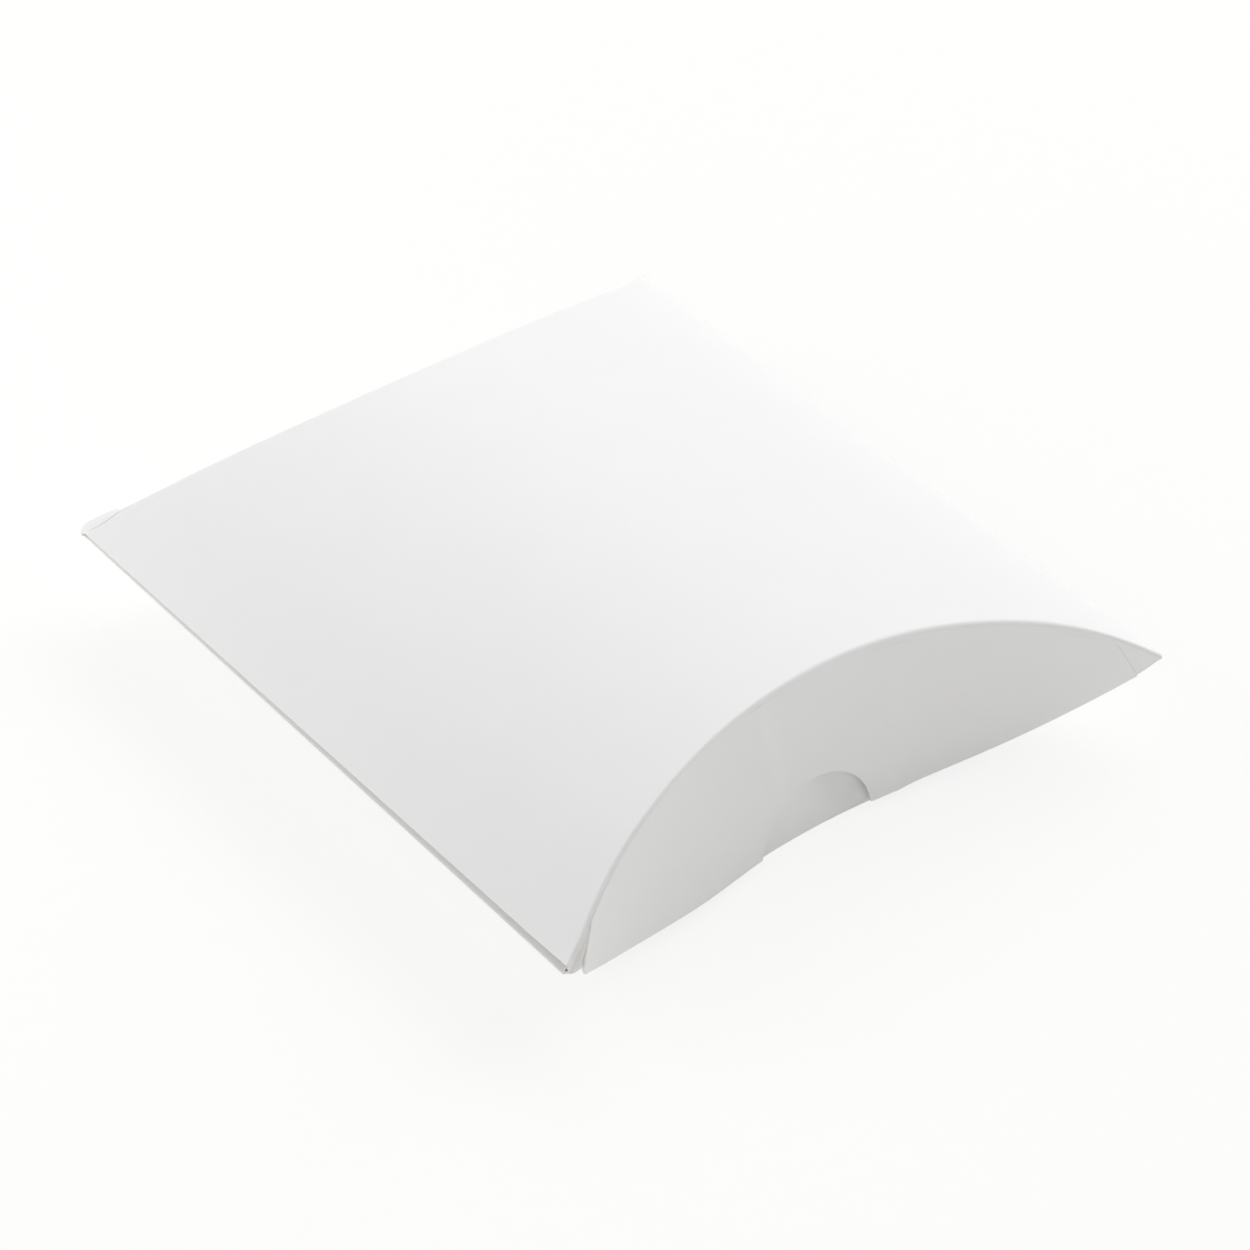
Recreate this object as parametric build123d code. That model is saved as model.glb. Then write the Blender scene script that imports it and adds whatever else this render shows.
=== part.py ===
from build123d import *
import math
import os

# Size of the closed box: fold to fold, along the folds, and above and below the folds
width = 110.0
length = 120.0
top_rise = 16.0
bottom_depth = 13.0

# Paperboard, glue film and its play, the free play behind each score and between two layers of flap
board = 0.45
glue_film = 0.05
glue_play = 0.05
score_play = 0.15
layer_play = 0.3

# Flat strip that the box rests on, half its width
rest_half = 9.0

# Scored and folded strips, measured inward from the edge that they run along
score_strip = 1.5
fold_strip = 1.5
cut_edge_setback = 1.0
cut_edge_play = 0.1
tip_play = 0.3

# Glue flap under the top panel
glue_flap_width = 14.0
glue_flap_end_setback = 3.0
glue_flap_mitre = 28.0
glue_margin = 1.5

# Outer flaps: how much fuller their free edge is than the lower panel, and the thumb notch
flap_fullness = 5.0
notch_radius = 10.5

# Inner flaps, from the lower panel up to their free edge at the middle
inner_flap_height = 18.0

# Bow of a panel: how far out its flatter middle arc ends, and its drop there
middle_share = 0.66
middle_drop_share = 0.38

# Angle by which the end of each arc is carried on, so that outlines cross cleanly
overrun_angle = 4.0

# Sizes that follow
half = width / 2
height = top_rise + bottom_depth
reach = 2 * max(width, length, height)
lean = (top_rise - bottom_depth) / height
wall_rise = (1 - lean) * top_rise
inner_face = board + layer_play
fold_start = half - fold_strip
flap_half = fold_start - tip_play
panel_edge = half - cut_edge_setback - cut_edge_play
glued_layer = board + glue_film + 2 * glue_play


# Bowed edge over a chord at zero: a flatter middle arc and a rounder arc to each side
def bow(rise, inset):
    middle = half * middle_share
    drop = rise * middle_drop_share
    turn = 2 * math.atan2(drop, middle)
    middle_radius = middle / math.sin(turn)
    side_run = half - middle
    side_rise = rise - drop
    slope = math.atan2(side_rise, side_run)
    side_radius = math.hypot(side_run, side_rise) / (2 * math.sin(slope - turn))
    side_x = middle - side_radius * math.sin(turn)
    side_y = side_rise - side_radius * math.cos(turn)
    turned = math.degrees(turn)
    swept = 2 * math.degrees(slope - turn) + overrun_angle
    right = CenterArc((side_x, side_y), side_radius - inset, 90 - turned - swept, swept)
    centre = CenterArc((0, rise - middle_radius), middle_radius - inset, 90 - turned, 2 * turned)
    left = CenterArc((-side_x, side_y), side_radius - inset, 90 + turned, swept)
    return [right, centre, left]


# Edge below the chord: a flat middle and one arc up to each side
def keel(flat_half, inset):
    run = half - flat_half
    radius = (run**2 + bottom_depth**2) / (2 * bottom_depth)
    swept = math.degrees(math.asin(run / radius)) + overrun_angle
    arc_y = radius - bottom_depth
    left = CenterArc((-flat_half, arc_y), radius - inset, 270 - swept, swept)
    right = CenterArc((flat_half, arc_y), radius - inset, 270, swept)
    return [left, Line(left @ 1, right @ 0), right]


# Low arch over the chord, for the inner flaps' free edge
def low_arch(rise):
    return [ThreePointArc((half, 0), (0, rise), (-half, 0))]


# Outline closed on the far side of an edge, below it or above it
def closed(edges, far):
    start = edges[0] @ 0
    end = edges[-1] @ 1
    side = math.copysign(reach, end.X)
    corners = [end, (side, end.Y), (side, far), (-side, far), (-side, start.Y), start]
    return make_face(edges + [Polyline(*corners)])


def under_top(inset):
    return closed(bow(top_rise, inset), -reach)


def over_bottom(inset):
    return closed(keel(rest_half, inset), reach)


def hollow_shape(top_inset, bottom_inset):
    return under_top(top_inset) & over_bottom(bottom_inset)


# Upright strip of a section, from one place across the box to another
def strip(start, end):
    return Pos((start + end) / 2, 0) * Rectangle(end - start, 2 * reach)


# Section across the box, drawn out along the folds
def along(section, run):
    return Pos(0, 0, bottom_depth) * extrude(Plane.XZ * section, amount=run / 2, both=True)


# All that lies behind the front wall, which leans and is bowed like the panels' ends
def behind_front(inset):
    outline = closed(bow(wall_rise, -inset), reach)
    low = Pos(0, -length / 2 - lean * reach, bottom_depth - reach) * outline
    return extrude(low, amount=2 * reach * math.hypot(1, lean), dir=(0, lean, 1))


# All that lies between the two end walls
def between_walls(inset):
    front = behind_front(inset)
    return front & mirror(front, Plane.XZ)


# Layer of one end wall, in front of the middle of the box
def wall_layer(section, outer, thickness):
    front_half = Pos(0, -reach / 2, 0) * Box(2 * reach, reach, 2 * reach)
    return along(section, reach) & front_half & behind_front(outer) - behind_front(outer + thickness)


# Upper and lower panels, each short of the scores at its ends
def top_panel():
    band = hollow_shape(0, 0) - under_top(board)
    section = band & strip(-panel_edge, fold_start)
    return along(section, length) & between_walls(board + score_play + score_strip)


def bottom_panel():
    band = hollow_shape(0, 0) - over_bottom(board)
    section = band & strip(-fold_start, fold_start)
    return along(section, length) & between_walls(inner_face + board + score_play + score_strip)


# Straight folds down both sides, the full length of the box
def side_fold():
    ring = hollow_shape(0, 0) - hollow_shape(board, board)
    return along(ring & strip(fold_start, half), length)


def seam_fold():
    ring = hollow_shape(0, 0) - hollow_shape(board + glued_layer, board)
    under_panel = strip(cut_edge_setback - half, 0) - under_top(glued_layer)
    return along((ring & strip(-half, -fold_start)) - under_panel, length)


# Glue flap, mitred at both ends, and the film of glue that holds it to the top panel
def glue_plan(start, end, setback):
    outer = length / 2 - setback
    inner = outer - (end - start) * math.tan(math.radians(glue_flap_mitre))
    left = start - half
    right = end - half
    return make_face(Polyline((left, -outer), (right, -inner), (right, inner), (left, outer), close=True))


def glue_flap():
    layer = under_top(glued_layer) - under_top(board + glued_layer)
    plan = glue_plan(fold_strip, fold_strip + glue_flap_width, glue_flap_end_setback)
    return along(layer, length) & extrude(plan, amount=reach, both=True)


def glue_line():
    layer = under_top(board + glue_play) - under_top(glued_layer - glue_play)
    start = fold_strip + glue_margin
    end = fold_strip + glue_flap_width - glue_margin
    plan = glue_plan(start, end, glue_flap_end_setback + 2 * glue_margin)
    return along(layer, length) & extrude(plan, amount=reach, both=True)


# Arched scores at the front end of each panel
def upper_crease():
    section = (hollow_shape(0, 0) - under_top(board)) & strip(-panel_edge, fold_start)
    return wall_layer(section, board + score_play, score_strip)


def lower_crease():
    section = (hollow_shape(0, 0) - over_bottom(board)) & strip(-fold_start, fold_start)
    return wall_layer(section, inner_face + board + score_play, score_strip)


# End flaps at the front, the outer one with its thumb notch
def outer_flap():
    free_edge = closed(keel(rest_half + flap_fullness, 0), reach)
    notch = Pos(0, -bottom_depth) * Circle(notch_radius)
    section = (under_top(0) & free_edge & strip(-flap_half, flap_half)) - notch
    return wall_layer(section, 0, board)


def inner_flap():
    free_edge = closed(low_arch(inner_flap_height - bottom_depth), -reach)
    section = over_bottom(0) & free_edge & strip(-flap_half, flap_half)
    return wall_layer(section, inner_face, board)


os.makedirs("parts", exist_ok=True)

sleeve = {
    "top_panel": top_panel(),
    "bottom_panel": bottom_panel(),
    "side_fold": side_fold(),
    "seam_fold": seam_fold(),
    "glue_flap": glue_flap(),
    "glue_line": glue_line(),
}
front_pieces = {
    "upper_crease": upper_crease(),
    "lower_crease": lower_crease(),
    "outer_flap": outer_flap(),
    "inner_flap": inner_flap(),
}

for name, shape in sleeve.items():
    export_step(shape, f"parts/{name}.step")

# Both ends of the box are alike
for name, shape in front_pieces.items():
    export_step(shape, f"parts/front_{name}.step")
    export_step(mirror(shape, Plane.XZ), f"parts/rear_{name}.step")
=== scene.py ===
import math
import bpy
import numpy as np
from mathutils import Matrix


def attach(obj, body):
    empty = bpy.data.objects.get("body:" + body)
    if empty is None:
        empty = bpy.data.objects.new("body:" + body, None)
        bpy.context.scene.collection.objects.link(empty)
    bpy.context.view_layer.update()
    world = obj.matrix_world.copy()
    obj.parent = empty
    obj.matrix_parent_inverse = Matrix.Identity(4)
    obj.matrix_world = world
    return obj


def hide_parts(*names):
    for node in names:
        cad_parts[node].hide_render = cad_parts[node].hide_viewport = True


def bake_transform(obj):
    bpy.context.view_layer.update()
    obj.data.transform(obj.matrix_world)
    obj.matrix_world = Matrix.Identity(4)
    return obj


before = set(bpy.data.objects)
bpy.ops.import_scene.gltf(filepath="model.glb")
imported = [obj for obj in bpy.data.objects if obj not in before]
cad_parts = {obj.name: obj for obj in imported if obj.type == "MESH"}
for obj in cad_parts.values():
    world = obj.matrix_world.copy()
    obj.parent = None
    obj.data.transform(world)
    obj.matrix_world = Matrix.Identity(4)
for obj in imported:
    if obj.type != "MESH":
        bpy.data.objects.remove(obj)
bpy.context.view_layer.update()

# All shapes below are worked out in millimetres, with heights counted from the level of the
# two side folds. The rear end is made like the front one, with small differences of its own,
# and then mirrored.


# Top panel: the bowed upper face, one area of a single die-cut blank. White solid bleached
# board, 0.45 mm, clay coated outside; it springs up into its bow as the ends are folded in,
# and each end stops at an arched score.

FOLD_LEVEL = 13.0            # the folds' height over what the box stands on
HALF_LENGTH = 60.0
BOARD = 0.45                 # its thickness
FOLD_ROUND = 0.5             # outer radius of every fold: the board's thickness and a hair
INNER_LAYER = 0.75           # the inner flap's face lies this far behind the outer flap's
MEET = 55.39                 # where the two panels' faces would meet if their fold were sharp
RISE = 16.0                  # the top panel's crown over the folds
DEPTH = 13.0                 # the lower panel's rest under them
MIDDLE_SHARE = 0.66          # of the half width, where the flatter middle arc ends
MIDDLE_DROP_SHARE = 0.38     # of the rise, the drop there
REST_HALF = 9.0              # half of the flat strip that the box rests on
LEAN = (RISE - DEPTH) / (RISE + DEPTH)
CUT_ROUND = 0.06             # how much a die-cut edge is rounded,
CUT_SHARE = 0.4              # and the most that it may take of the grid's first cell
PANEL_CUT = -54.75           # the panel's cut edge over the seam
SIDE_TANGENT = 54.80         # where the top panel's face runs into the round of the side fold
SEAM_LIFT = (0.15, 0.1, 0.4)     # how far the cut edge stands up all along, how much more
                             # toward the front, and how much more at the front corner
SEAM_LIFT_REACH = 5.0        # how far in from the edge the panel is lifted,
SEAM_CURL = 4.0              # and how far along it the corner's curl carries
SCORE_STRIP = 1.5            # width of the scored strip beside a fold
CORNER_RUN = 3.0             # that strip turns to follow the panel's edge over this run
SWELL = 0.32                 # how far an end wall's middle stands out between its corners
TUCKS = {                    # where the scores draw in, or out: from, to and how far
    "front": ((-50.5, -54.0, 0.45), (-20.0, 0.0, -0.35), (40.0, 49.0, 0.35)),
    "rear": ((-49.0, -53.0, 0.75), (42.0, 54.8, -1.2)),
}
# How much wider the round of an upper score gets, between which places, and where it ends
FRONT_SOFTER = (0.35, (-16.0, 4.0), (42.0, 49.0))
REAR_SOFTER = (0.3, (-36.0, -46.0))


def bow(x):
    """Height of the top panel's outer face over the folds and its slope, across the box:
    a middle arc through the crown and a rounder arc each side, tangent to each other."""
    middle = MEET * MIDDLE_SHARE
    drop = RISE * MIDDLE_DROP_SHARE
    turn = 2 * math.atan2(drop, middle)
    crown = middle / math.sin(turn)
    slant = math.atan2(RISE - drop, MEET - middle)
    side = math.hypot(RISE - drop, MEET - middle) / (2 * math.sin(slant - turn))
    side_x = middle - side * math.sin(turn)
    side_z = RISE - drop - side * math.cos(turn)
    out = np.abs(x)
    across = np.where(out <= middle, out, out - side_x)
    radius = np.where(out <= middle, crown, side)
    up = np.sqrt(radius**2 - across**2)
    return up + np.where(out <= middle, RISE - crown, side_z), -np.sign(x) * across / up


def keel(x, flat=REST_HALF, depth=DEPTH):
    """Depth of the lower panel's outer face under the folds and its slope: flat in the
    middle, and one arc up to each fold, tangent to the flat."""
    run = MEET - flat
    radius = (run**2 + depth**2) / (2 * depth)
    across = np.maximum(np.abs(x) - flat, 0)
    up = np.sqrt(radius**2 - across**2)
    return depth - radius + up, -np.sign(x) * across / up


def wall(x, z):
    """Distance along the box of the front wall's face, at x and height z: it is bowed in
    like the panels' ends, stands out a little in its middle by a fourth power, and leans
    so that both arched scores lie on it."""
    out = HALF_LENGTH + SWELL * (1 - (x / MEET) ** 4)
    return -out + (1 - LEAN) * bow(x)[0] + LEAN * z


def step(x, start, full):
    """A smooth step from 0 at start to 1 at full: three squares less two cubes."""
    share = np.clip((x - start) / (full - start), 0, 1)
    return 3 * share**2 - 2 * share**3


def tuck(x, rear):
    """How far an end's score is drawn in at x, in smooth steps; less than zero is out."""
    return sum(amount * step(x, start, full)
               for start, full, amount in TUCKS["rear" if rear else "front"])


def fold_radius(x, below=False, rear=False):
    """Outer radius of an arched fold: sharp at the left of the front, where it is pressed
    well, and softer to the right of the front's middle and at the left of the rear."""
    if below:
        return FOLD_ROUND + 0 * x
    if rear:
        wider, grows = REAR_SOFTER
        return FOLD_ROUND + wider * step(x, *grows)
    wider, grows, ends = FRONT_SOFTER
    return FOLD_ROUND + wider * step(x, *grows) * (1 - step(x, *ends))


def unit(v):
    """Vectors of length one along the last axis."""
    return v / np.linalg.norm(v, axis=-1, keepdims=True)


def points(x, y, z):
    """Arrays of the three coordinates joined, spread to one shape."""
    return np.stack(np.broadcast_arrays(x, y, z), -1).astype(float)


def panel_normal(x, below=False):
    """Outward direction of the top panel's face at x, or of the lower panel's."""
    slope = keel(x)[1] if below else bow(x)[1]
    return unit(points(-slope, 0, -1 if below else 1))


def wall_normal(x):
    """Outward direction of the front wall's face at x."""
    return unit(points((1 - LEAN) * bow(x)[1] + 4 * SWELL * x**3 / MEET**4, -1, LEAN))


def fold_frame(x, below=False, rear=False):
    """The arched fold at crease position x: its corner where panel and wall would meet,
    the ways into panel and wall at right angles to it, the length from the corner to
    where the round begins, and the round's centre. Length is radius over the tangent of
    half the angle between the two ways, and the centre lies on their bisector. Close to
    the corners the way into the panel turns to run along the panel's edge."""
    radius = fold_radius(x, below, rear)[:, None]
    z = -keel(x)[0] if below else bow(x)[0]
    corner = points(x, wall(x, z) + (INNER_LAYER if below else tuck(x, rear)), z)
    panel, front = panel_normal(x, below), wall_normal(x)
    along = unit(np.cross(panel, front))
    into_panel = np.cross(along, panel)
    into_panel *= -np.sign((into_panel * front).sum(-1, keepdims=True))
    into_wall = np.cross(along, front)
    into_wall *= -np.sign((into_wall * panel).sum(-1, keepdims=True))
    angle = np.arccos((into_panel * into_wall).sum(-1, keepdims=True)) / 2
    length = radius / np.tan(angle)
    centre = corner + unit(into_panel + into_wall) * radius / np.sin(angle)
    into_panel[:, 0] *= np.clip((SIDE_TANGENT - np.abs(x)) / CORNER_RUN, 0, 1)
    return corner, panel, front, into_panel, into_wall, length, centre


def panel_edge(x, below=False, rear=False):
    """Distance along the box where the panel proper ends and its scored strip begins, at
    places x across the box, read off the strip's far border."""
    dense = np.linspace(-MEET + 0.2, MEET - 0.2, 1201)
    corner, _, _, into_panel, _, length, _ = fold_frame(dense, below, rear)
    border = corner + into_panel * (length + SCORE_STRIP)
    return np.interp(x, border[:, 0], border[:, 1])


def seam_lift(x, y):
    """How far the top panel's free edge stands up near the seam: most at the front, where
    the corner's curl falls off exponentially, and less by the square of the way inward."""
    near = np.clip(1 - (x - PANEL_CUT) / SEAM_LIFT_REACH, 0, 1)
    throughout, forward, corner = SEAM_LIFT
    curl = corner * np.exp(-(y + HALF_LENGTH) / SEAM_CURL)
    return near**2 * (throughout + forward * (0.5 - y / (2 * HALF_LENGTH)) + curl)


def linear(colour):
    """An sRGB hex colour as linear RGBA."""
    value = np.array([int(colour[i:i + 2], 16) / 255 for i in (1, 3, 5)])
    curve = np.where(value <= 0.04045, value / 12.92, ((value + 0.055) / 1.055) ** 2.4)
    return (*curve, 1.0)


def node(tree, kind, settings=(), links=(), stops=()):
    """Adds one node with its settings, by name or by input, and links into its inputs.
    A colour ramp has two stops, each a place and its hex colour."""
    made = tree.nodes.new(kind)
    for key, value in dict(settings).items():
        if isinstance(key, str) and hasattr(made, key):
            setattr(made, key, value)
        else:
            made.inputs[key].default_value = value
    for key, source in dict(links).items():
        tree.links.new(source, made.inputs[key])
    for number, (place, colour) in enumerate(stops):
        made.color_ramp.elements[number].color = linear(colour)
        made.color_ramp.elements[number].position = place
    return made


def material(name):
    """A new material, its node tree, its Principled shader and its object coordinates."""
    made = bpy.data.materials.new(name)
    made.use_nodes = True
    tree = made.node_tree
    shader = tree.nodes["Principled BSDF"]
    place = node(tree, "ShaderNodeTexCoord").outputs["Object"]
    return made, tree, shader, place


NOISE_LOW, NOISE_HIGH = 0.3, 0.7     # most of a noise's values lie between these


def coated_board():
    """Coated solid bleached board, die-cut: a smooth clay coating over pressed fibres. It
    gives the eye an even white, faint cloudy formation at 9 mm, and a satin that only a
    low light breaks up, with the coating's 0.3 mm peel. Single fibres are too fine to
    show, so they are drawn as flocks of 1.8 mm. A mesh attribute mixes the colour toward
    a grey: slightly on crushed folds, and as painted shade in and under the arched
    scores, on the front webs and in the slit under the seam."""
    made, tree, shader, place = material("coated_solid_bleached_board")
    cloud = node(tree, "ShaderNodeTexNoise",
                 {"Scale": 1 / 0.009, "Detail": 3.0, "Roughness": 0.55}, {"Vector": place})
    peel = node(tree, "ShaderNodeTexNoise",
                {"Scale": 1 / 0.0003, "Detail": 2.0, "Roughness": 0.6}, {"Vector": place})
    fibre = node(tree, "ShaderNodeTexNoise",
                 {"Scale": 1 / 0.0018, "Detail": 5.0, "Roughness": 0.65, "Distortion": 0.6},
                 {"Vector": place})
    tint = node(tree, "ShaderNodeValToRGB", links={"Fac": cloud.outputs["Fac"]},
                stops=((NOISE_LOW, "#f3f3f3"), (NOISE_HIGH, "#f4f4f4")))
    # the attribute's grey: crushed board on the folds, painted shade in and under the scores, on
    # the front webs and in the seam's slit
    crush_and_shade_mask = node(tree, "ShaderNodeAttribute", {"attribute_name": "crush_and_shade"})
    wear_and_shade = node(tree, "ShaderNodeMix", {"data_type": "RGBA", 7: linear("#d8d7d5")},
                {0: crush_and_shade_mask.outputs["Fac"], 6: tint.outputs["Color"]})
    satin = node(tree, "ShaderNodeMapRange",
                 {"From Min": NOISE_LOW, "From Max": NOISE_HIGH, "To Min": 0.5, "To Max": 0.6},
                 {"Value": fibre.outputs["Fac"]})
    coarse = node(tree, "ShaderNodeBump", {"Strength": 0.25, "Distance": 0.00002},
                  {"Height": fibre.outputs["Fac"]})
    fine = node(tree, "ShaderNodeBump", {"Strength": 0.2, "Distance": 0.000008},
                {"Height": peel.outputs["Fac"], "Normal": coarse.outputs["Normal"]})
    tree.links.new(wear_and_shade.outputs[2], shader.inputs["Base Color"])
    tree.links.new(satin.outputs["Result"], shader.inputs["Roughness"])
    tree.links.new(fine.outputs["Normal"], shader.inputs["Normal"])
    shader.inputs["IOR"].default_value = 1.45
    shader.inputs["Specular IOR Level"].default_value = 0.3
    return made


def cut_edge():
    """The board's own core where the die cut it: pressed pulp with no coating. It looks a
    little warmer and duller than the faces, in plies 0.1 mm thick and broken fibres, which
    are drawn 0.7 mm long because real ones are too fine to show."""
    made, tree, shader, place = material("die_cut_board_edge")
    plies = node(tree, "ShaderNodeTexNoise",
                 {"Scale": 1 / 0.0001, "Detail": 2.0}, {"Vector": place})
    fibre = node(tree, "ShaderNodeTexNoise",
                 {"Scale": 1 / 0.0007, "Detail": 4.0, "Distortion": 1.0}, {"Vector": place})
    shade = node(tree, "ShaderNodeValToRGB", links={"Fac": fibre.outputs["Fac"]},
                 stops=((NOISE_LOW, "#eae7e3"), (NOISE_HIGH, "#f3f1ee")))
    rough = node(tree, "ShaderNodeBump", {"Strength": 0.5, "Distance": 0.00003},
                 {"Height": plies.outputs["Fac"]})
    tree.links.new(shade.outputs["Color"], shader.inputs["Base Color"])
    tree.links.new(rough.outputs["Normal"], shader.inputs["Normal"])
    shader.inputs["Roughness"].default_value = 0.9
    shader.inputs["Specular IOR Level"].default_value = 0.15
    return made


def board_back():
    """The blank's uncoated inner face: bare bleached fibres, matt, a shade warmer than the
    coating, with a felt-like mottle of 1.5 mm and faint clouds of 12 mm."""
    made, tree, shader, place = material("uncoated_bleached_board_back")
    mottle = node(tree, "ShaderNodeTexNoise",
                  {"Scale": 1 / 0.0015, "Detail": 6.0, "Roughness": 0.7, "Distortion": 1.2},
                  {"Vector": place})
    cloud = node(tree, "ShaderNodeTexNoise",
                 {"Scale": 1 / 0.012, "Detail": 2.0}, {"Vector": place})
    fibres = node(tree, "ShaderNodeValToRGB", links={"Fac": mottle.outputs["Fac"]},
                  stops=((NOISE_LOW, "#e9e7e2"), (NOISE_HIGH, "#f1efea")))
    clouds = node(tree, "ShaderNodeValToRGB", links={"Fac": cloud.outputs["Fac"]},
                  stops=((NOISE_LOW, "#fafafa"), (NOISE_HIGH, "#ffffff")))
    tint = node(tree, "ShaderNodeMix",
                {"data_type": "RGBA", "blend_type": "MULTIPLY", 0: 1.0},
                {6: fibres.outputs["Color"], 7: clouds.outputs["Color"]})
    felt = node(tree, "ShaderNodeBump", {"Strength": 0.35, "Distance": 0.00004},
                {"Height": mottle.outputs["Fac"]})
    tree.links.new(tint.outputs[2], shader.inputs["Base Color"])
    tree.links.new(felt.outputs["Normal"], shader.inputs["Normal"])
    shader.inputs["Roughness"].default_value = 0.85
    shader.inputs["Specular IOR Level"].default_value = 0.2
    return made


BOARD_FACES = [coated_board(), cut_edge(), board_back()]


def sheet(name, outer, inner, cut, crush_and_shade=0.0, faces=BOARD_FACES):
    """A piece of board between two facing grids of points, in rows and columns. Its rim is
    three strips round the grids' border: where a side is cut (first row, last row, first
    column, last column, whole or place by place), the border is drawn in by CUT_ROUND,
    which rounds that edge. The board turns outward whichever way the grids run."""
    rows, columns = outer.shape[:2]
    ring = np.concatenate([
        np.arange(columns),
        np.arange(1, rows) * columns + columns - 1,
        (rows - 1) * columns + np.arange(columns - 2, -1, -1),
        np.arange(rows - 2, 0, -1) * columns,
    ])
    grids = []
    for grid in (outer, inner):
        drawn = grid.copy()
        for side, one, two in ((0, np.s_[0], np.s_[1]), (1, np.s_[-1], np.s_[-2]),
                               (2, np.s_[:, 0], np.s_[:, 1]), (3, np.s_[:, -1], np.s_[:, -2])):
            way = grid[two] - grid[one]
            size = np.linalg.norm(way, axis=-1, keepdims=True)
            where = np.broadcast_to(cut[side], len(way))[:, None]
            share = np.minimum(CUT_ROUND / np.maximum(size, 1e-9), CUT_SHARE)
            drawn[one] += way * where * share
        grids.append(drawn.reshape(-1, 3))
    face, back = outer.reshape(-1, 3)[ring], inner.reshape(-1, 3)[ring]
    share = CUT_ROUND / np.linalg.norm(back - face, axis=-1, keepdims=True)
    near, far = face + (back - face) * share, back + (face - back) * share
    count, loop = rows * columns, len(ring)
    first = (np.arange(rows - 1)[:, None] * columns + np.arange(columns - 1)).ravel()
    quads = np.stack([first, first + 1, first + columns + 1, first + columns], -1)
    rings = np.stack([ring, 2 * count + np.arange(loop), 2 * count + loop + np.arange(loop),
                      count + ring])
    after = np.roll(rings, -1, axis=1)
    strips = np.concatenate([np.stack([rings[i], rings[i + 1], after[i + 1], after[i]], -1)
                             for i in range(3)])
    polygons = np.concatenate([quads, count + quads[:, ::-1], strips])
    places = np.concatenate([*grids, near, far])
    row, column = rows // 2, columns // 2
    here = outer[row, column]
    facing = np.cross(outer[row, column + 1] - here, outer[row + 1, column] - here)
    if np.dot(facing, here - inner[row, column]) < 0:
        polygons = polygons[:, ::-1]
    places[:, 2] += FOLD_LEVEL
    mesh = bpy.data.meshes.new(name)
    mesh.from_pydata(places * 0.001, [], polygons.tolist())
    kind = np.repeat([0, 2, 1], [len(quads), len(quads), len(strips)])
    mesh.polygons.foreach_set("material_index", kind)
    mesh.polygons.foreach_set("use_smooth", np.ones(len(polygons), bool))
    pairs = np.concatenate([np.stack([rings[i], after[i]]) for i in (0, 3)], axis=1)
    border = pairs.min(0) * len(places) + pairs.max(0)
    ends = np.empty(2 * len(mesh.edges), np.int64)
    mesh.edges.foreach_get("vertices", ends)
    ends = np.sort(ends.reshape(-1, 2), axis=1)
    hard = mesh.attributes.new("sharp_edge", "BOOLEAN", "EDGE")
    hard.data.foreach_set("value", np.isin(ends[:, 0] * len(places) + ends[:, 1], border))
    tone = mesh.attributes.new("crush_and_shade", "FLOAT", "POINT")
    level = np.broadcast_to(crush_and_shade, (rows, columns)).ravel()
    tone.data.foreach_set("value", np.concatenate(
        [level, level, level[ring], level[ring]]).astype(np.float32))
    for finish in faces:
        mesh.materials.append(finish)
    mesh.validate()
    made = bpy.data.objects.new(name, mesh)
    bpy.context.scene.collection.objects.link(made)
    return made


across = np.linspace(0, 1, 222)               # shares of the way across the panel
stations = np.linspace(0, 1, 49)[:, None]     # and along the box
top_x = PANEL_CUT + (SIDE_TANGENT - PANEL_CUT) * across
top_y = panel_edge(top_x) * (1 - stations) - panel_edge(top_x, rear=True) * stations
top_out = points(top_x, top_y, bow(top_x)[0] + seam_lift(top_x, top_y))
top_in = top_out - BOARD * panel_normal(top_x)
top_panel = sheet("top_panel_board", top_out, top_in, (False, False, True, False))
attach(top_panel, "sleeve")
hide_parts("top_panel")


# Side fold: the straight score that joins the two panels on the right, the full length
# of the box. The same board, turned through 113 degrees; the coating stretches over the
# round, and its two ends are die-cut square.

SIDE_FOLD_ENDS = (-59.1, 60.4)   # set back under the front corner, and out at the rear one
ROUND_STEPS = 11             # columns of points round a straight fold,
FOLD_PLACES = 97             # and rows of them along it
SIDE_CRUSHED = 0.35          # how crushed the board is at the middle of the round


def rounded(one, two, centre, start, end):
    """A round between two directions, turned evenly: outer and inner points for places
    start to end along the box. The outer radius is the fold's, the inner one what is left."""
    turn = math.acos(float(np.dot(one, two)))
    part = np.linspace(0, 1, ROUND_STEPS)[:, None]
    way = (np.sin((1 - part) * turn) * one + np.sin(part * turn) * two) / math.sin(turn)
    y = np.linspace(start, end, FOLD_PLACES)[:, None]
    rings = []
    for radius in (FOLD_ROUND, FOLD_ROUND - BOARD):
        rings.append(points(centre[0] + radius * way[:, 0], y, centre[1] + radius * way[:, 2]))
    return rings


def round_centre(side, inset):
    """Centre of a side fold's round, in x and z: where the top face, let in by inset, and
    the lower face are both one radius away. Six steps of Newton's method, from 1 mm inside
    the place where the two faces would meet."""
    x, z = side * (MEET - 1), 0.0
    for _ in range(6):
        top = float(bow(np.array(x))[0] - z) / math.hypot(1, float(bow(np.array(x))[1]))
        low = float(z + keel(np.array(x))[0]) / math.hypot(1, float(keel(np.array(x))[1]))
        up, down = panel_normal(np.array(x)), panel_normal(np.array(x), True)
        off = np.linalg.solve(np.array([up[[0, 2]], down[[0, 2]]]),
                              [top - inset - FOLD_ROUND, low - FOLD_ROUND])
        x, z = x + off[0], z + off[1]
    return np.array([x, z])


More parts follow.
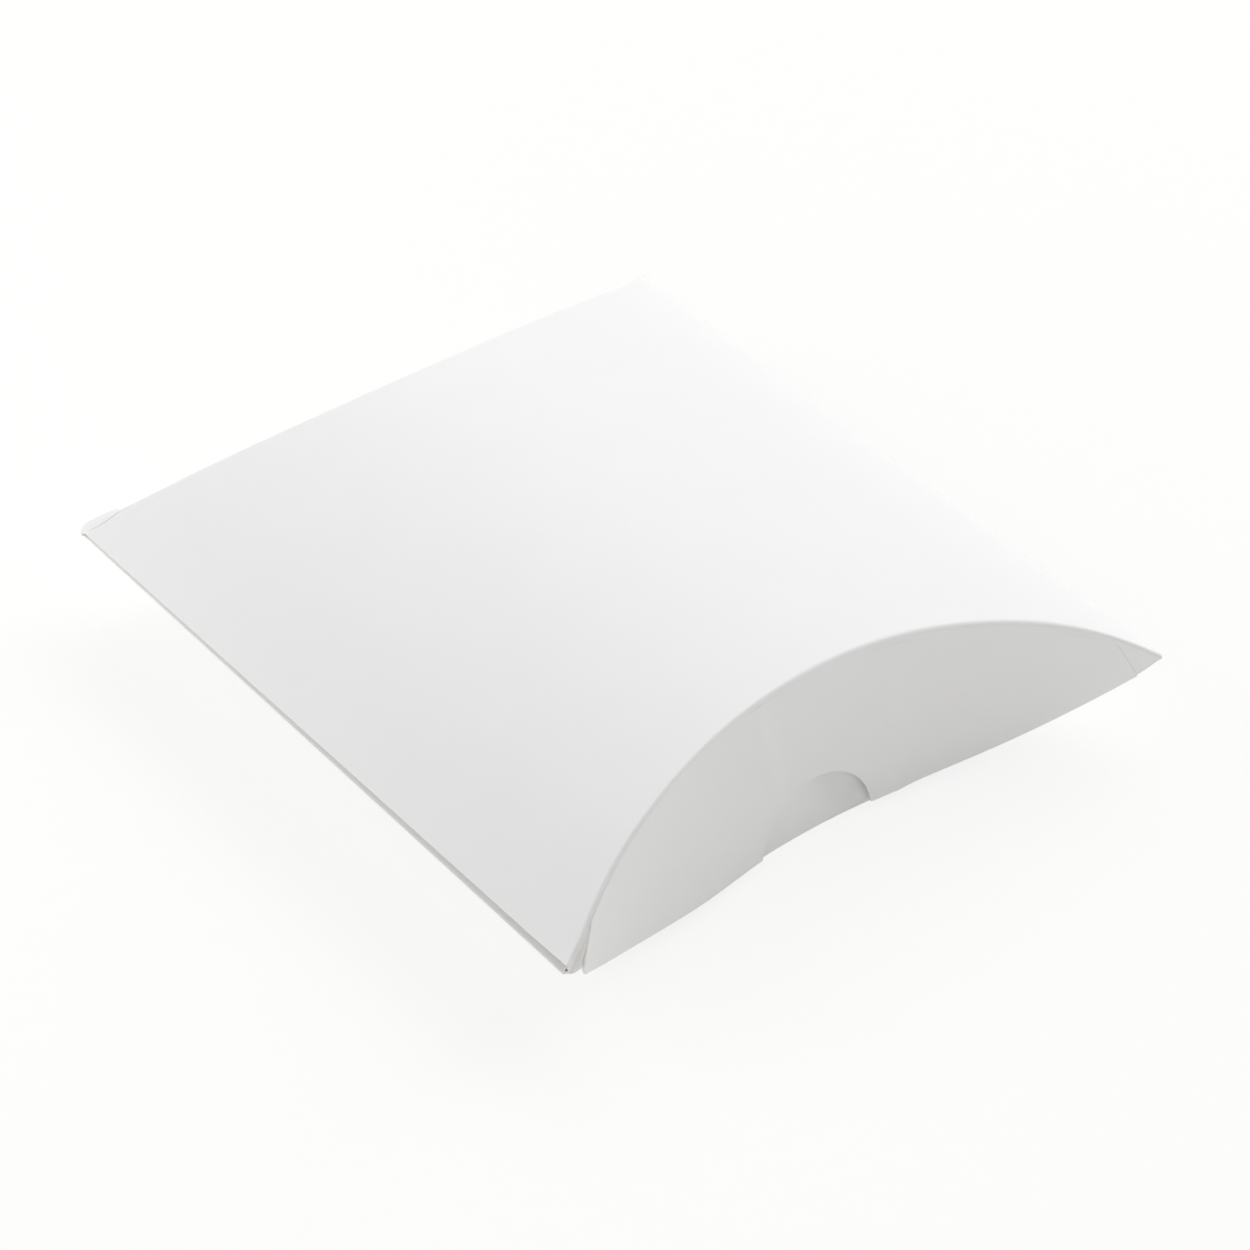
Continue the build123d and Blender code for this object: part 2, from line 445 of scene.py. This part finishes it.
centre = round_centre(1, 0.0)
fold_out, fold_in = rounded(panel_normal(np.array(SIDE_TANGENT)),
                            panel_normal(np.array(SIDE_TANGENT), True), centre,
                            *SIDE_FOLD_ENDS)
side_fold = sheet("side_fold_board", fold_out, fold_in, (True, True, False, False),
                  crush_and_shade=SIDE_CRUSHED * np.sin(np.linspace(0, math.pi, ROUND_STEPS)))
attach(side_fold, "sleeve")
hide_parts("side_fold")


# Seam fold and glue flap: on the left the lower panel's board turns up and runs in under
# the top panel as a mitred flap. The fold gives toward the front, so that a slit opens
# under the panel's cut edge there, and both ends are cut back a little. The neck and the
# round's first columns, seen in that slit, are darkened with painted shade.

GLUED_LAYER = 0.60           # from the top panel's outer face down to the glue flap's
SEAM_FRONT = -57.55          # the fold's two cut ends along the box
SEAM_REAR = 58.2
SEAM_TANGENTS = (-54.0, -54.2)   # where its round leaves the glue flap and the lower panel
SEAM_OUT = 0.5               # how far the fold gives outward at the front,
SEAM_SAG = 0.4               # and how far downward
GIVE_START = 48.0            # the lower panel gives with it from there outward,
GIVE_RUN = 6.0               # and fully after this run
NECK_STEPS = 6               # columns of the flat neck between glue flap and round
NECK_STEP = 0.02             # the neck ends this much past the round's first column
SEAM_SLIT_SHADE = ((0, 9, 12, 16), (1.0, 1.0, 0.3, 0.0))   # columns, and how much painted shade darkens them in the slit
GLUE_FLAP_WIDTH = 14.0
GLUE_FLAP_START = 53.5       # where the flap joins the neck, out from the middle
GLUE_FLAP_SETBACK = 3.0
GLUE_FLAP_MITRE = math.tan(math.radians(28))


def settled(grid, share):
    """The lower layer let out and down toward the front, by the powers 0.8 and 2 of the
    distance from the rear, and only by a share of it away from the fold."""
    forward = np.clip(0.5 - grid[..., 1] / (2 * HALF_LENGTH), 0, 1)
    moved = grid.copy()
    moved[..., 0] -= SEAM_OUT * forward**0.8 * share
    moved[..., 2] -= SEAM_SAG * forward**2 * share
    return moved


def lower_share(x):
    """That share on the lower panel: the square of the way outward over the run."""
    return np.clip((-x - GIVE_START) / GIVE_RUN, 0, 1) ** 2


seam = round_centre(-1, GLUED_LAYER)
turn_in = panel_normal(np.array(SEAM_TANGENTS[0]))
turn_down = panel_normal(np.array(SEAM_TANGENTS[1]), True)
seam_out, seam_in = rounded(turn_in, turn_down, seam, SEAM_FRONT, SEAM_REAR)
run = np.linspace(-GLUE_FLAP_START, seam_out[0, 0, 0] - NECK_STEP, NECK_STEPS)
neck_out = points(run, seam_out[:, :1, 1], bow(run)[0])
neck_out = neck_out - GLUED_LAYER * panel_normal(run)
neck_in = neck_out - BOARD * panel_normal(run)
seam_out = np.concatenate([neck_out, seam_out], 1)
seam_in = np.concatenate([neck_in, seam_in], 1)
columns = np.arange(NECK_STEPS + ROUND_STEPS)
given = np.minimum(columns / NECK_STEPS, 1)
seam_fold = sheet("seam_fold_board", settled(seam_out, given), settled(seam_in, given),
                  (True, True, False, False),
                  crush_and_shade=np.interp(columns, *SEAM_SLIT_SHADE))
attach(seam_fold, "sleeve")
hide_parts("seam_fold")

flap_x = -GLUE_FLAP_START + np.linspace(0, GLUE_FLAP_WIDTH, 30)
reach = HALF_LENGTH - GLUE_FLAP_SETBACK - (flap_x + GLUE_FLAP_START) * GLUE_FLAP_MITRE
flap_y = reach * (2 * stations - 1)
glue_out = points(flap_x, flap_y, bow(flap_x)[0]) - GLUED_LAYER * panel_normal(flap_x)
glue_in = glue_out - BOARD * panel_normal(flap_x)
glue_flap = sheet("glue_flap_board", glue_out, glue_in, (True, True, False, True))
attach(glue_flap, "sleeve")
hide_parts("glue_flap")


# Glue line: one run of cold carton glue between the glue flap and the top panel, rolled
# out to a film. Dry, it is a milky skin with a smooth surface and small voids.

def carton_glue():
    """Dried polyvinyl acetate glue: milky, faintly yellow, smoother than the board, with
    2 mm blotches where the film is thicker."""
    made, tree, shader, place = material("dried_polyvinyl_acetate_glue")
    blotch = node(tree, "ShaderNodeTexNoise",
                  {"Scale": 1 / 0.002, "Detail": 4.0}, {"Vector": place})
    milk = node(tree, "ShaderNodeValToRGB", links={"Fac": blotch.outputs["Fac"]},
                stops=((NOISE_LOW, "#e4dcc4"), (NOISE_HIGH, "#f0ebdc")))
    tree.links.new(milk.outputs["Color"], shader.inputs["Base Color"])
    gloss = node(tree, "ShaderNodeMapRange", {"To Min": 0.25, "To Max": 0.45},
                 {"Value": blotch.outputs["Fac"]})
    skin = node(tree, "ShaderNodeBump", {"Strength": 0.4, "Distance": 0.00005},
                {"Height": blotch.outputs["Fac"]})
    tree.links.new(gloss.outputs["Result"], shader.inputs["Roughness"])
    tree.links.new(skin.outputs["Normal"], shader.inputs["Normal"])
    shader.inputs["IOR"].default_value = 1.47
    return made


GLUE_MARGIN = 1.5            # the film ends this far from the flap's borders,
GLUE_CLEARANCE = 0.02        # and lies this far off the two layers
GLUE_RIPPLE = 0.07           # how far the film's inner columns wander
RIPPLE_ALONG = 0.9           # turn of the ripple along the film, in radians per mm,
RIPPLE_ACROSS = 0.5          # and of its shift across it,
RIPPLE_SWING = 2.0           # which swings this many radians either way
GLUE_COLUMNS = 24

dried = carton_glue()
glue_x = -GLUE_FLAP_START + np.linspace(GLUE_MARGIN, GLUE_FLAP_WIDTH - GLUE_MARGIN,
                                        GLUE_COLUMNS)
reach = (HALF_LENGTH - GLUE_FLAP_SETBACK - 2 * GLUE_MARGIN
         - (glue_x + GLUE_FLAP_START) * GLUE_FLAP_MITRE)
glue_y = reach * (2 * stations - 1)
shift = RIPPLE_SWING * np.sin(glue_x * RIPPLE_ACROSS)
ripple = GLUE_RIPPLE * np.sin(glue_y * RIPPLE_ALONG + shift)
glue_x = glue_x + ripple * np.sin(np.linspace(0, math.pi, GLUE_COLUMNS))
film = points(glue_x, glue_y, bow(glue_x)[0])
film_out = film - (BOARD + GLUE_CLEARANCE) * panel_normal(glue_x)
film_in = film - (GLUED_LAYER - GLUE_CLEARANCE) * panel_normal(glue_x)
glue_line = sheet("glue_film", film_out, film_in, (False,) * 4, faces=[dried] * 3)
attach(glue_line, "sleeve")
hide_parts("glue_line")


# Bottom panel: the lower face of the same blank, with the flat strip it rests on. It meets
# the floor only there, and its coated side faces down.

LOWER_LEFT = -52.8           # the lower scores start there, where the blank is relieved

low_x = np.linspace(seam_out[0, -1, 0], SIDE_TANGENT, 223)
low_front = np.where(low_x < LOWER_LEFT, SEAM_FRONT, panel_edge(low_x, True))
low_rear = np.where(low_x < LOWER_LEFT, SEAM_REAR, -panel_edge(low_x, True))
low_y = low_front * (1 - stations) + low_rear * stations
low_out = points(low_x, low_y, -keel(low_x)[0])
low_in = low_out - BOARD * panel_normal(low_x, True)
bottom_panel = sheet("bottom_panel_board", settled(low_out, lower_share(low_x)),
                     settled(low_in, lower_share(low_x)), (False, False, False, False))
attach(bottom_panel, "sleeve")
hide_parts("bottom_panel")


# Arched scores: a rule pressed each one into the flat blank, so the board is crushed and
# bends there. Folded, it shows a soft lip on the panel, a fine groove on the turn, and a
# little web of board at each corner, which the flaps are cut free of. Its colour is
# darkened there: for the crushed board, and as painted shade in the groove, down the
# strip under the turn and on the front webs.

UPPER_ROOT = 49.0            # the outer flap's root ends here, and its side is cut from there
ROOT_BELOW = 0.35            # width of the folded-down strip between the round and a flap
LOWER_END = 0.6              # the lower scores end this far in from the side fold
GAPS = (0.3, 0.0)            # between a flap's cut side and the web, left and right
WEB_FEET = (                 # the webs' lower corners, left and right, across and up
    ((-51.5, -1.9), (-53.0, -1.4), (-54.5, 0.0)),
    ((51.6, -2.6), (53.05, -1.42), (54.6, 0.08)),
)
WEB_SHARES = (0.45, 0.8, 1.0)    # how far along the web they lie
WEB_FOLDS = (1.05, 1.0)      # share of the fold that left and right webs turn through,
FREED_BEFORE = 0.3           # reached from this far inside the root's end
FREED_RUN = 1.2              # over this run
REAR_WEB = (                 # only the rear left web: its width at places along the score
    (49.0, 0.35), (49.3, 0.7), (50.2, 1.3), (51.5, 1.9), (53.0, 2.3), (54.2, 2.1), (54.7, 1.5),
)
REAR_WEB_FOLD = 0.17         # it hardly folds, and so stands out
GROOVE = 0.14                # its depth at the left end of a score, from where it fades out
GROOVE_PLACES = (0.8, 0.05)  # its middle along the turn, at the front and the rear
GROOVE_SPREAD = 0.36         # and how wide it is
PRESSED_FROM = -12.0         # a score is pressed from there to the left,
PRESSED_RUN = 40.0           # and fully after this run
PRESSED_POWERS = (2.5, 1.8)  # how its groove, and its wear with painted shade, grow on the way
LIP = 0.012                  # height of the lip on the panel, its place and its spread
LIP_PLACE = 0.35
LIP_SPREAD = 0.25
REAR_WEAR_AND_SHADE = 0.4              # the rear scores' wear and painted shade, as a share of the front ones'
GROOVE_SHADE_AND_CRUSH = 0.7         # how far painted shade and crushed board darken the groove before the turn, all over the turn and how much more in the groove there, painted shade just under the turn, and how much more on a front web
TURN_SHADE_AND_CRUSH = (0.2, 0.5)    # all over the turn and how much more in the groove there,
BELOW_PAINTED_SHADE = (0.5, 0.5)   # just under the turn, and how much more on a front web
STRIP_ROWS, TURN_ROWS, BELOW_ROWS = 8, 13, 7   # of points before, on and under the turn
CORNER_REACH = 54.95         # nothing in a corner reaches further out than this


def pressed_share(x, power):
    """How well a score is pressed at x: a power of the way to the left over the run."""
    return np.clip((PRESSED_FROM - x) / PRESSED_RUN, 0, 1) ** power


def web_foot(x, foot):
    """The lower line of the strip under an upper score, turned into the webs' lower line
    beyond a flap's root: straight from corner to corner, across and up."""
    line = foot[:, [0, 2]].copy()
    for side, gap, corners in zip((-1, 1), GAPS, WEB_FEET):
        web = side * x > UPPER_ROOT
        order = np.argsort(side * x)
        start = [np.interp(UPPER_ROOT, (side * x)[order], line[order, k]) for k in (0, 1)]
        along = (side * x[web] - UPPER_ROOT) / ((side * x).max() - UPPER_ROOT)
        for k, first in enumerate((start[0] + side * gap, start[1])):
            line[web, k] = np.interp(along, (0.0, *WEB_SHARES), (first, *(c[k] for c in corners)))
    return line


def crease(x, below, rear):
    """A scored fold: rows run from the panel's border over the round and down the wall.
    The outer face has a low lip before the round and a groove in the turn, each a bell
    curve of the distance, and otherwise follows panel and wall. The webs turn through
    their own share of the fold, at the rear left a small one, so that it stands out."""
    radius = fold_radius(x, below, rear)[:, None]
    corner, panel, front, into_panel, into_wall, length, centre = fold_frame(x, below, rear)
    along = unit(np.cross(panel, front))
    way = -1 if rear else 1
    middle = GROOVE_PLACES[1 if rear else 0]
    depth = GROOVE * pressed_share(x, PRESSED_POWERS[0])[:, None]
    wear_and_shade = pressed_share(x, PRESSED_POWERS[1]) * (REAR_WEAR_AND_SHADE if rear else 1)
    # Tones darken the colour: crushed board and painted shade in the groove and over the turn,
    # painted shade down the strip under it and more on the front webs.
    rows_out, rows_in, tones = [], [], []
    for run in np.linspace(SCORE_STRIP, 0.0, STRIP_ROWS + 1)[:-1]:
        place = corner + into_panel * (length + run)
        px, py = place[:, 0], place[:, 1] * way
        place[:, 2] = -keel(px)[0] if below else bow(px)[0] + seam_lift(px, py)
        facing = panel_normal(px, below)
        rows_in.append(place - BOARD * facing)
        lip = LIP * math.exp(-((run - LIP_PLACE) / LIP_SPREAD) ** 2)
        bell = math.exp(-((run + middle) / GROOVE_SPREAD) ** 2)
        rows_out.append(place + facing * (lip - depth * bell))
        tones.append(GROOVE_SHADE_AND_CRUSH * bell * wear_and_shade)
    free = np.clip((np.abs(x) - UPPER_ROOT + FREED_BEFORE) / FREED_RUN, 0, 1)[:, None]
    left = REAR_WEB_FOLD if rear else WEB_FOLDS[0]
    share = np.where(x < 0, left, WEB_FOLDS[1])[:, None]
    folded = 1.0 if below else 1 + (share - 1) * free
    turn = np.arccos((panel * front).sum(-1, keepdims=True))
    lifted = 0 * x if below else seam_lift(x, corner[:, 1] * way)
    for part in np.linspace(0, 1, TURN_ROWS):
        here = part * folded
        facing = (np.sin((1 - here) * turn) * panel + np.sin(here * turn) * front) / np.sin(turn)
        bell = np.exp(-((part * turn * FOLD_ROUND - middle) / GROOVE_SPREAD) ** 2)
        ring = centre + facing * (radius - depth * bell)
        inside = centre + facing * (radius - BOARD)
        for grid in (ring, inside):
            grid[:, 2] += lifted * (1 - part)
        rows_out.append(ring)
        rows_in.append(inside)
        tones.append((TURN_SHADE_AND_CRUSH[0] + TURN_SHADE_AND_CRUSH[1] * bell[:, 0]) * wear_and_shade)
    tangent = (np.cos(here * turn) * front - np.cos((1 - here) * turn) * panel) / np.sin(turn)
    start = corner + into_wall * length
    foot = start + into_wall * ROOT_BELOW
    if not below:
        web = np.abs(x) > UPPER_ROOT
        line = web_foot(x, foot)
        foot[web, 0], foot[web, 2] = line[web].T
        foot[web, 1] = (wall(line[:, 0], line[:, 1]) + tuck(x, rear))[web]
    if rear and not below:
        ear = start + into_wall * np.interp(np.abs(x), *zip(*REAR_WEB))[:, None]
        foot[x < -UPPER_ROOT] = ear[x < -UPPER_ROOT]
    # painted shade under the turn, and more on a front web beside the flap's cut side
    under, on_web = BELOW_PAINTED_SHADE
    for part in np.linspace(0, 1, BELOW_ROWS + 1)[1:]:
        place = start + (foot - start) * part
        for rows, thick in ((rows_out, 0.0), (rows_in, BOARD)):
            off = place - thick * wall_normal(place[:, 0]) - centre
            rows.append(centre + (off * front).sum(-1, keepdims=True) * facing
                        + (off * into_wall).sum(-1, keepdims=True) * tangent
                        + (off * along).sum(-1, keepdims=True) * along)
        tones.append((under * (1 - part) + (0 if rear else on_web) * free[:, 0]) * wear_and_shade)
    rows_out, rows_in = np.stack(rows_out), np.stack(rows_in)
    for rows in (rows_out, rows_in):
        rows[..., 0] = np.clip(rows[..., 0], -CORNER_REACH, CORNER_REACH)
    return rows_out, rows_in, np.stack(tones)


def mirrored(grid, rear):
    """The same grid, or its mirror image at the rear end."""
    return grid * (np.array([1, -1, 1]) if rear else 1)


lower_x = np.linspace(LOWER_LEFT, SIDE_TANGENT - LOWER_END, 241)
lower_out, lower_in, lower_tone = crease(lower_x, True, False)
upper_x = np.linspace(PANEL_CUT, SIDE_TANGENT, 421)
for end in ("front", "rear"):
    rear = end == "rear"
    upper_out, upper_in, upper_tone = crease(upper_x, False, rear)
    upper = sheet(f"{end}_upper_score", mirrored(upper_out, rear), mirrored(upper_in, rear),
                  (False, np.abs(upper_x) > UPPER_ROOT, True, False), upper_tone)
    lower = sheet(f"{end}_lower_score", settled(mirrored(lower_out, rear), lower_share(lower_x)),
                  settled(mirrored(lower_in, rear), lower_share(lower_x)),
                  (False, False, True, True), lower_tone)
    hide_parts(f"{end}_upper_crease")
    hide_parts(f"{end}_lower_crease")
    for piece in (upper, lower):
        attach(piece, "sleeve")


# Outer flaps: the lens-shaped end flaps hinged on the top panel's arched scores, with a
# thumb notch in the free edge. The board is forced from flat to hollow as it folds, so
# it kinks softly along two straight lines.

EDGE_DEPTH = 12.1            # the free edge: its depth at the middle, its half width where
EDGE_HALF = 55.5             # it would meet the folds, and the power of its curve
EDGE_POWER = 3.65
FLAP_TIPS = (                # its tips, across and up, and how far along they are rounded
    (-51.1, -1.9, 0.9),
    (51.6, -2.6, 0.2),
)
NOTCH_CENTRE = (-0.7, -12.75)
NOTCH_HALF = 10.3            # half its width, and its height
NOTCH_HEIGHT = 9.6
BELLIES = (                  # where the free edge springs out: place, amount and spread
    (-22.5, 0.72, 11.0),
    (11.0, 0.22, 4.5),
)
KINKS = (                    # foot and head of each kink, in x, its height and half width
    (-6.0, -11.7, 0.44, 2.2),
    (14.5, 13.0, 0.24, 2.2),
)
KINK_ROUND = 0.4             # how round a kink's crest is,
KINK_START = 2.0             # and how far under the score it begins
OUTER_COLUMNS = 361
BEND = 0.012                 # a bend length for a flap's root, from which only an unused reach is worked out


def edge_depth(x):
    """Depth of the free edge under the folds, without the notch: a flat power curve."""
    return EDGE_DEPTH * (1 - (np.abs(x) / EDGE_HALF) ** EDGE_POWER)


def standing(x, z):
    """How far the flap's face stands off the smooth wall. Each belly is a bell curve along
    the free edge that grows with the way down to it. Each kink is a low ridge that fades
    exponentially to either side and begins under the score by one less a bell curve."""
    down = bow(x)[0] - z
    share = np.clip(down / (bow(x)[0] + edge_depth(x)), 0, 1)
    total = 0
    for place, amount, spread in BELLIES:
        total = total + amount * np.exp(-((x - place) / spread) ** 2) * share**1.5
    for foot, head, height, spread in KINKS:
        off = x - (head + (foot - head) * share)
        ridge = height * np.exp(-np.sqrt(off**2 + KINK_ROUND**2) / spread)
        total = total + ridge * (1 - np.exp(-((down / KINK_START) ** 2)))
    return total


def free_edge():
    """The outer flap's free edge as x and z, from tip to tip: a quarter round at each tip,
    the power curve, and the notch's half oval between."""
    across, under = NOTCH_CENTRE
    angle = np.linspace(math.pi, 0, 181)
    notch_x = across + NOTCH_HALF * np.cos(angle)
    notch_z = under + NOTCH_HEIGHT * np.sin(angle)
    inside = notch_z > -edge_depth(notch_x)
    notch_x, notch_z = notch_x[inside], notch_z[inside]
    part = np.linspace(0, math.pi / 2, 9)[1:]
    ends = []
    for start, (across, up, tip_round) in zip((notch_x[0], notch_x[-1]), FLAP_TIPS):
        side = np.sign(across)
        run = np.linspace(start, across - side * tip_round, 90)
        last = edge_depth(run[-1])
        tip_x = run[-1] + side * tip_round * np.sin(part)
        tip_z = up - (up + last) * np.cos(part)
        ends.append((np.concatenate([run, tip_x]), np.concatenate([-edge_depth(run), tip_z])))
    return (np.concatenate([ends[0][0][::-1], notch_x, ends[1][0]]),
            np.concatenate([ends[0][1][::-1], notch_z, ends[1][1]]))


def along_line(x, z, count):
    """The same line with count points, evenly spaced by length, ends kept."""
    length = np.concatenate([[0], np.cumsum(np.hypot(np.diff(x), np.diff(z)))])
    even = np.linspace(0, length[-1], count)
    return np.interp(even, length, x), np.interp(even, length, z)


edge_x, edge_z = along_line(*free_edge(), OUTER_COLUMNS)
root_x = np.linspace(-UPPER_ROOT, UPPER_ROOT, OUTER_COLUMNS)
down = np.linspace(0, 1, 61)[:, None]
for end in ("front", "rear"):
    rear = end == "rear"
    way = -1 if rear else 1
    corner, _, _, _, into_wall, length, _ = fold_frame(root_x, False, rear)
    root = corner + into_wall * (length + ROOT_BELOW)
    face_x = root[:, 0] * (1 - down) + edge_x * down
    face_z = root[:, 2] * (1 - down) + edge_z * down
    drawn = tuck(face_x, rear) * (1 if rear else 1 - down)
    face_y = wall(face_x, face_z) + drawn - standing(face_x * way, face_z)
    outer_out = points(face_x, face_y, face_z)
    outer_in = outer_out - BOARD * wall_normal(face_x)
    flap = sheet(f"{end}_outer_flap_board", mirrored(outer_out, rear),
                 mirrored(outer_in, rear), (False, True, True, True))
    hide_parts(f"{end}_outer_flap")
    reach = BEND / math.sqrt(2)
    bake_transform(flap)


# Inner flaps: tucked in first, behind the outer ones, and hinged on the lower panel's
# arched scores. Only the thumb notch shows them. They reach a little over the folds.

INNER_ROOT = 51.5            # half the width of its root,
INNER_TOP_HALF = 51.0        # and of its top
INNER_TOP = 5.0              # height of its low arch over the folds, and half the width
INNER_ARCH = 56.0            # at which the arch would come down to them
INNER_BELOW = 0.9            # it keeps this far under the top panel's outer face
INNER_HOLLOW = 0.7           # how far its right half springs in, away from the outer flap,
HOLLOW_RUN = (-1.0, 6.0)     # and where across the box it begins to and fully does
INNER_BULGE = 0.3            # how far its left half springs out,
BULGE_RUN = (-2.0, 6.0)      # and where that does, counted to the left
SPRING_START = 3.0           # how far over the lower edge the spring sets in
INNER_COLUMNS = 241

root_x = np.linspace(-INNER_ROOT, INNER_ROOT, INNER_COLUMNS)
corner, _, _, _, into_wall, length, _ = fold_frame(root_x, True, False)
root = corner + into_wall * (length + ROOT_BELOW)
top_x = np.linspace(-INNER_TOP_HALF, INNER_TOP_HALF, INNER_COLUMNS)
crest = INNER_TOP * (1 - (top_x / INNER_ARCH) ** 4)
crest = np.minimum(crest, bow(top_x)[0] - INNER_BELOW)
face_x = root[:, 0] * (1 - down) + top_x * down
face_z = root[:, 2] * (1 - down) + crest * down
above = face_z + keel(face_x)[0]
spring = INNER_HOLLOW * step(face_x, *HOLLOW_RUN) - INNER_BULGE * step(-face_x, *BULGE_RUN)
hollow = spring * (1 - np.exp(-((above / SPRING_START) ** 3)))
inner_out = points(face_x, wall(face_x, face_z) + INNER_LAYER + hollow, face_z)
inner_in = inner_out - BOARD * wall_normal(face_x)
for end in ("front", "rear"):
    rear = end == "rear"
    flap = sheet(f"{end}_inner_flap_board", mirrored(inner_out, rear),
                 mirrored(inner_in, rear), (False, True, True, True))
    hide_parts(f"{end}_inner_flap")
    way = -1 if rear else 1
    reach = BEND / math.sqrt(2)
    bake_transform(flap)


# Floor: a pale seamless sheet of studio paper, far wider than the view. It is white to
# the camera and keeps the box's soft shadow.

WHITENED = 0.82              # share of the paper's look that is plain white to the camera
PAPER_HALF = 3.0             # half its width and how far it lies under the box, in metres
PAPER_DROP = 2e-5


def studio_paper():
    """White seamless background paper: matt and even, its grain drawn at 4 mm because the
    real one is too fine to show. Camera rays, and those that come off gloss or through
    glass, see a little more light on it, so that it reaches white away from the box."""
    made, tree, shader, place = material("white_seamless_paper")
    grain = node(tree, "ShaderNodeTexNoise", {"Scale": 1 / 0.004}, {"Vector": place})
    white = node(tree, "ShaderNodeValToRGB", links={"Fac": grain.outputs["Fac"]},
                 stops=((NOISE_LOW, "#faf9f5"), (NOISE_HIGH, "#fcfbf7")))
    tree.links.new(white.outputs["Color"], shader.inputs["Base Color"])
    shader.inputs["Roughness"].default_value = 0.95
    shader.inputs["Specular IOR Level"].default_value = 0.0
    path = node(tree, "ShaderNodeLightPath")
    seen = path.outputs["Is Camera Ray"]
    for ray in ("Is Glossy Ray", "Is Transmission Ray"):
        seen = node(tree, "ShaderNodeMath", {"operation": "MAXIMUM"},
                    {0: seen, 1: path.outputs[ray]}).outputs[0]
    share = node(tree, "ShaderNodeMath", {"operation": "MULTIPLY", 1: WHITENED}, {0: seen})
    glow = node(tree, "ShaderNodeEmission", {"Strength": 1.0})
    mixed = node(tree, "ShaderNodeMixShader", (),
                 {0: share.outputs[0], 1: shader.outputs[0], 2: glow.outputs[0]})
    tree.links.new(mixed.outputs[0], tree.nodes["Material Output"].inputs["Surface"])
    return made


mesh = bpy.data.meshes.new("studio_floor")
corners = [(-1, -1), (1, -1), (1, 1), (-1, 1)]
mesh.from_pydata([(PAPER_HALF * a, PAPER_HALF * b, -PAPER_DROP) for a, b in corners], [],
                 [(0, 1, 2, 3)])
mesh.materials.append(studio_paper())
floor = bpy.data.objects.new("studio_floor", mesh)
bpy.context.scene.collection.objects.link(floor)


# Light: a white studio all round, large soft boxes high behind the right side and low on
# the right, where the photograph's top panel is brightest, a weaker one in front of the
# left, and a small one close to the left rear corner.

WORLD_STRENGTH = 0.333

world = bpy.data.worlds.new("white_studio")
world.use_nodes = True
bpy.context.scene.world = world
world.node_tree.nodes["Background"].inputs["Color"].default_value = (1, 1, 1, 1)
world.node_tree.nodes["Background"].inputs["Strength"].default_value = WORLD_STRENGTH


def standing_at(place, right, up, back):
    """The matrix of an object at a place, with its own axes along right, up and back."""
    turn = np.eye(4)
    turn[:3, 0], turn[:3, 1], turn[:3, 2], turn[:3, 3] = right, up, back, place
    return Matrix(turn)


def soft_box(name, place, aim, size, power):
    """A square area lamp at a place, turned to face its aim, in metres and watts, and not
    seen by the camera."""
    lamp = bpy.data.lights.new(name, "AREA")
    lamp.shape = "SQUARE"
    lamp.size = size
    lamp.energy = power
    made = bpy.data.objects.new(name, lamp)
    bpy.context.scene.collection.objects.link(made)
    back = unit(np.array(place, float) - np.array(aim, float))
    right = unit(np.cross([0, 0, 1], back))
    made.matrix_world = standing_at(place, right, np.cross(back, right), back)
    made.visible_camera = False


soft_box("soft_box_behind", (0.9, 0.9, 1.1), (0.0, 0.0, 0.01), 1.0, 10.1)
soft_box("soft_box_right", (0.9, 0.0, 0.6), (0.0, 0.0, 0.01), 0.7, 5.1)
soft_box("soft_box_fill", (-0.8, -0.8, 0.6), (0.0, 0.0, 0.01), 0.8, 3.1)
soft_box("soft_box_near_left", (-0.28, 0.28, 0.2), (-0.03, 0.03, 0.01), 0.25, 0.63)


# Camera: the photograph's own view, from the left of the front end and 39.5 degrees up.
# Its place, its turn and its focal length were fitted to the box's edges there.

AZIMUTH, ELEVATION, ROLL = -40.344, 39.514, 2.281
FOCAL_PIXELS, FRAME_PIXELS = 4181.5, 1250
SENSOR = 36.0                # the sensor's width in mm, Blender's own
AWAY, RIGHTWARD, UPWARD = 616.0, 1.747, -4.657   # from the middle of the folds, in mm

azimuth, elevation, roll = (math.radians(v) for v in (AZIMUTH, ELEVATION, ROLL))
back = np.array([math.sin(azimuth) * math.cos(elevation),
                 -math.cos(azimuth) * math.cos(elevation), math.sin(elevation)])
level = np.array([math.cos(azimuth), math.sin(azimuth), 0.0])
upright = np.cross(back, level)
right = math.cos(roll) * level + math.sin(roll) * upright
up = -math.sin(roll) * level + math.cos(roll) * upright
lens = bpy.data.cameras.new("photograph_view")
lens.sensor_width = SENSOR
lens.lens = FOCAL_PIXELS * SENSOR / FRAME_PIXELS
camera = bpy.data.objects.new("photograph_view", lens)
bpy.context.scene.collection.objects.link(camera)
place = (RIGHTWARD * right + UPWARD * up + AWAY * back + [0, 0, FOLD_LEVEL]) * 0.001
camera.matrix_world = standing_at(place, right, up, back)
bpy.context.scene.camera = camera
bpy.context.scene.view_settings.view_transform = "Standard"
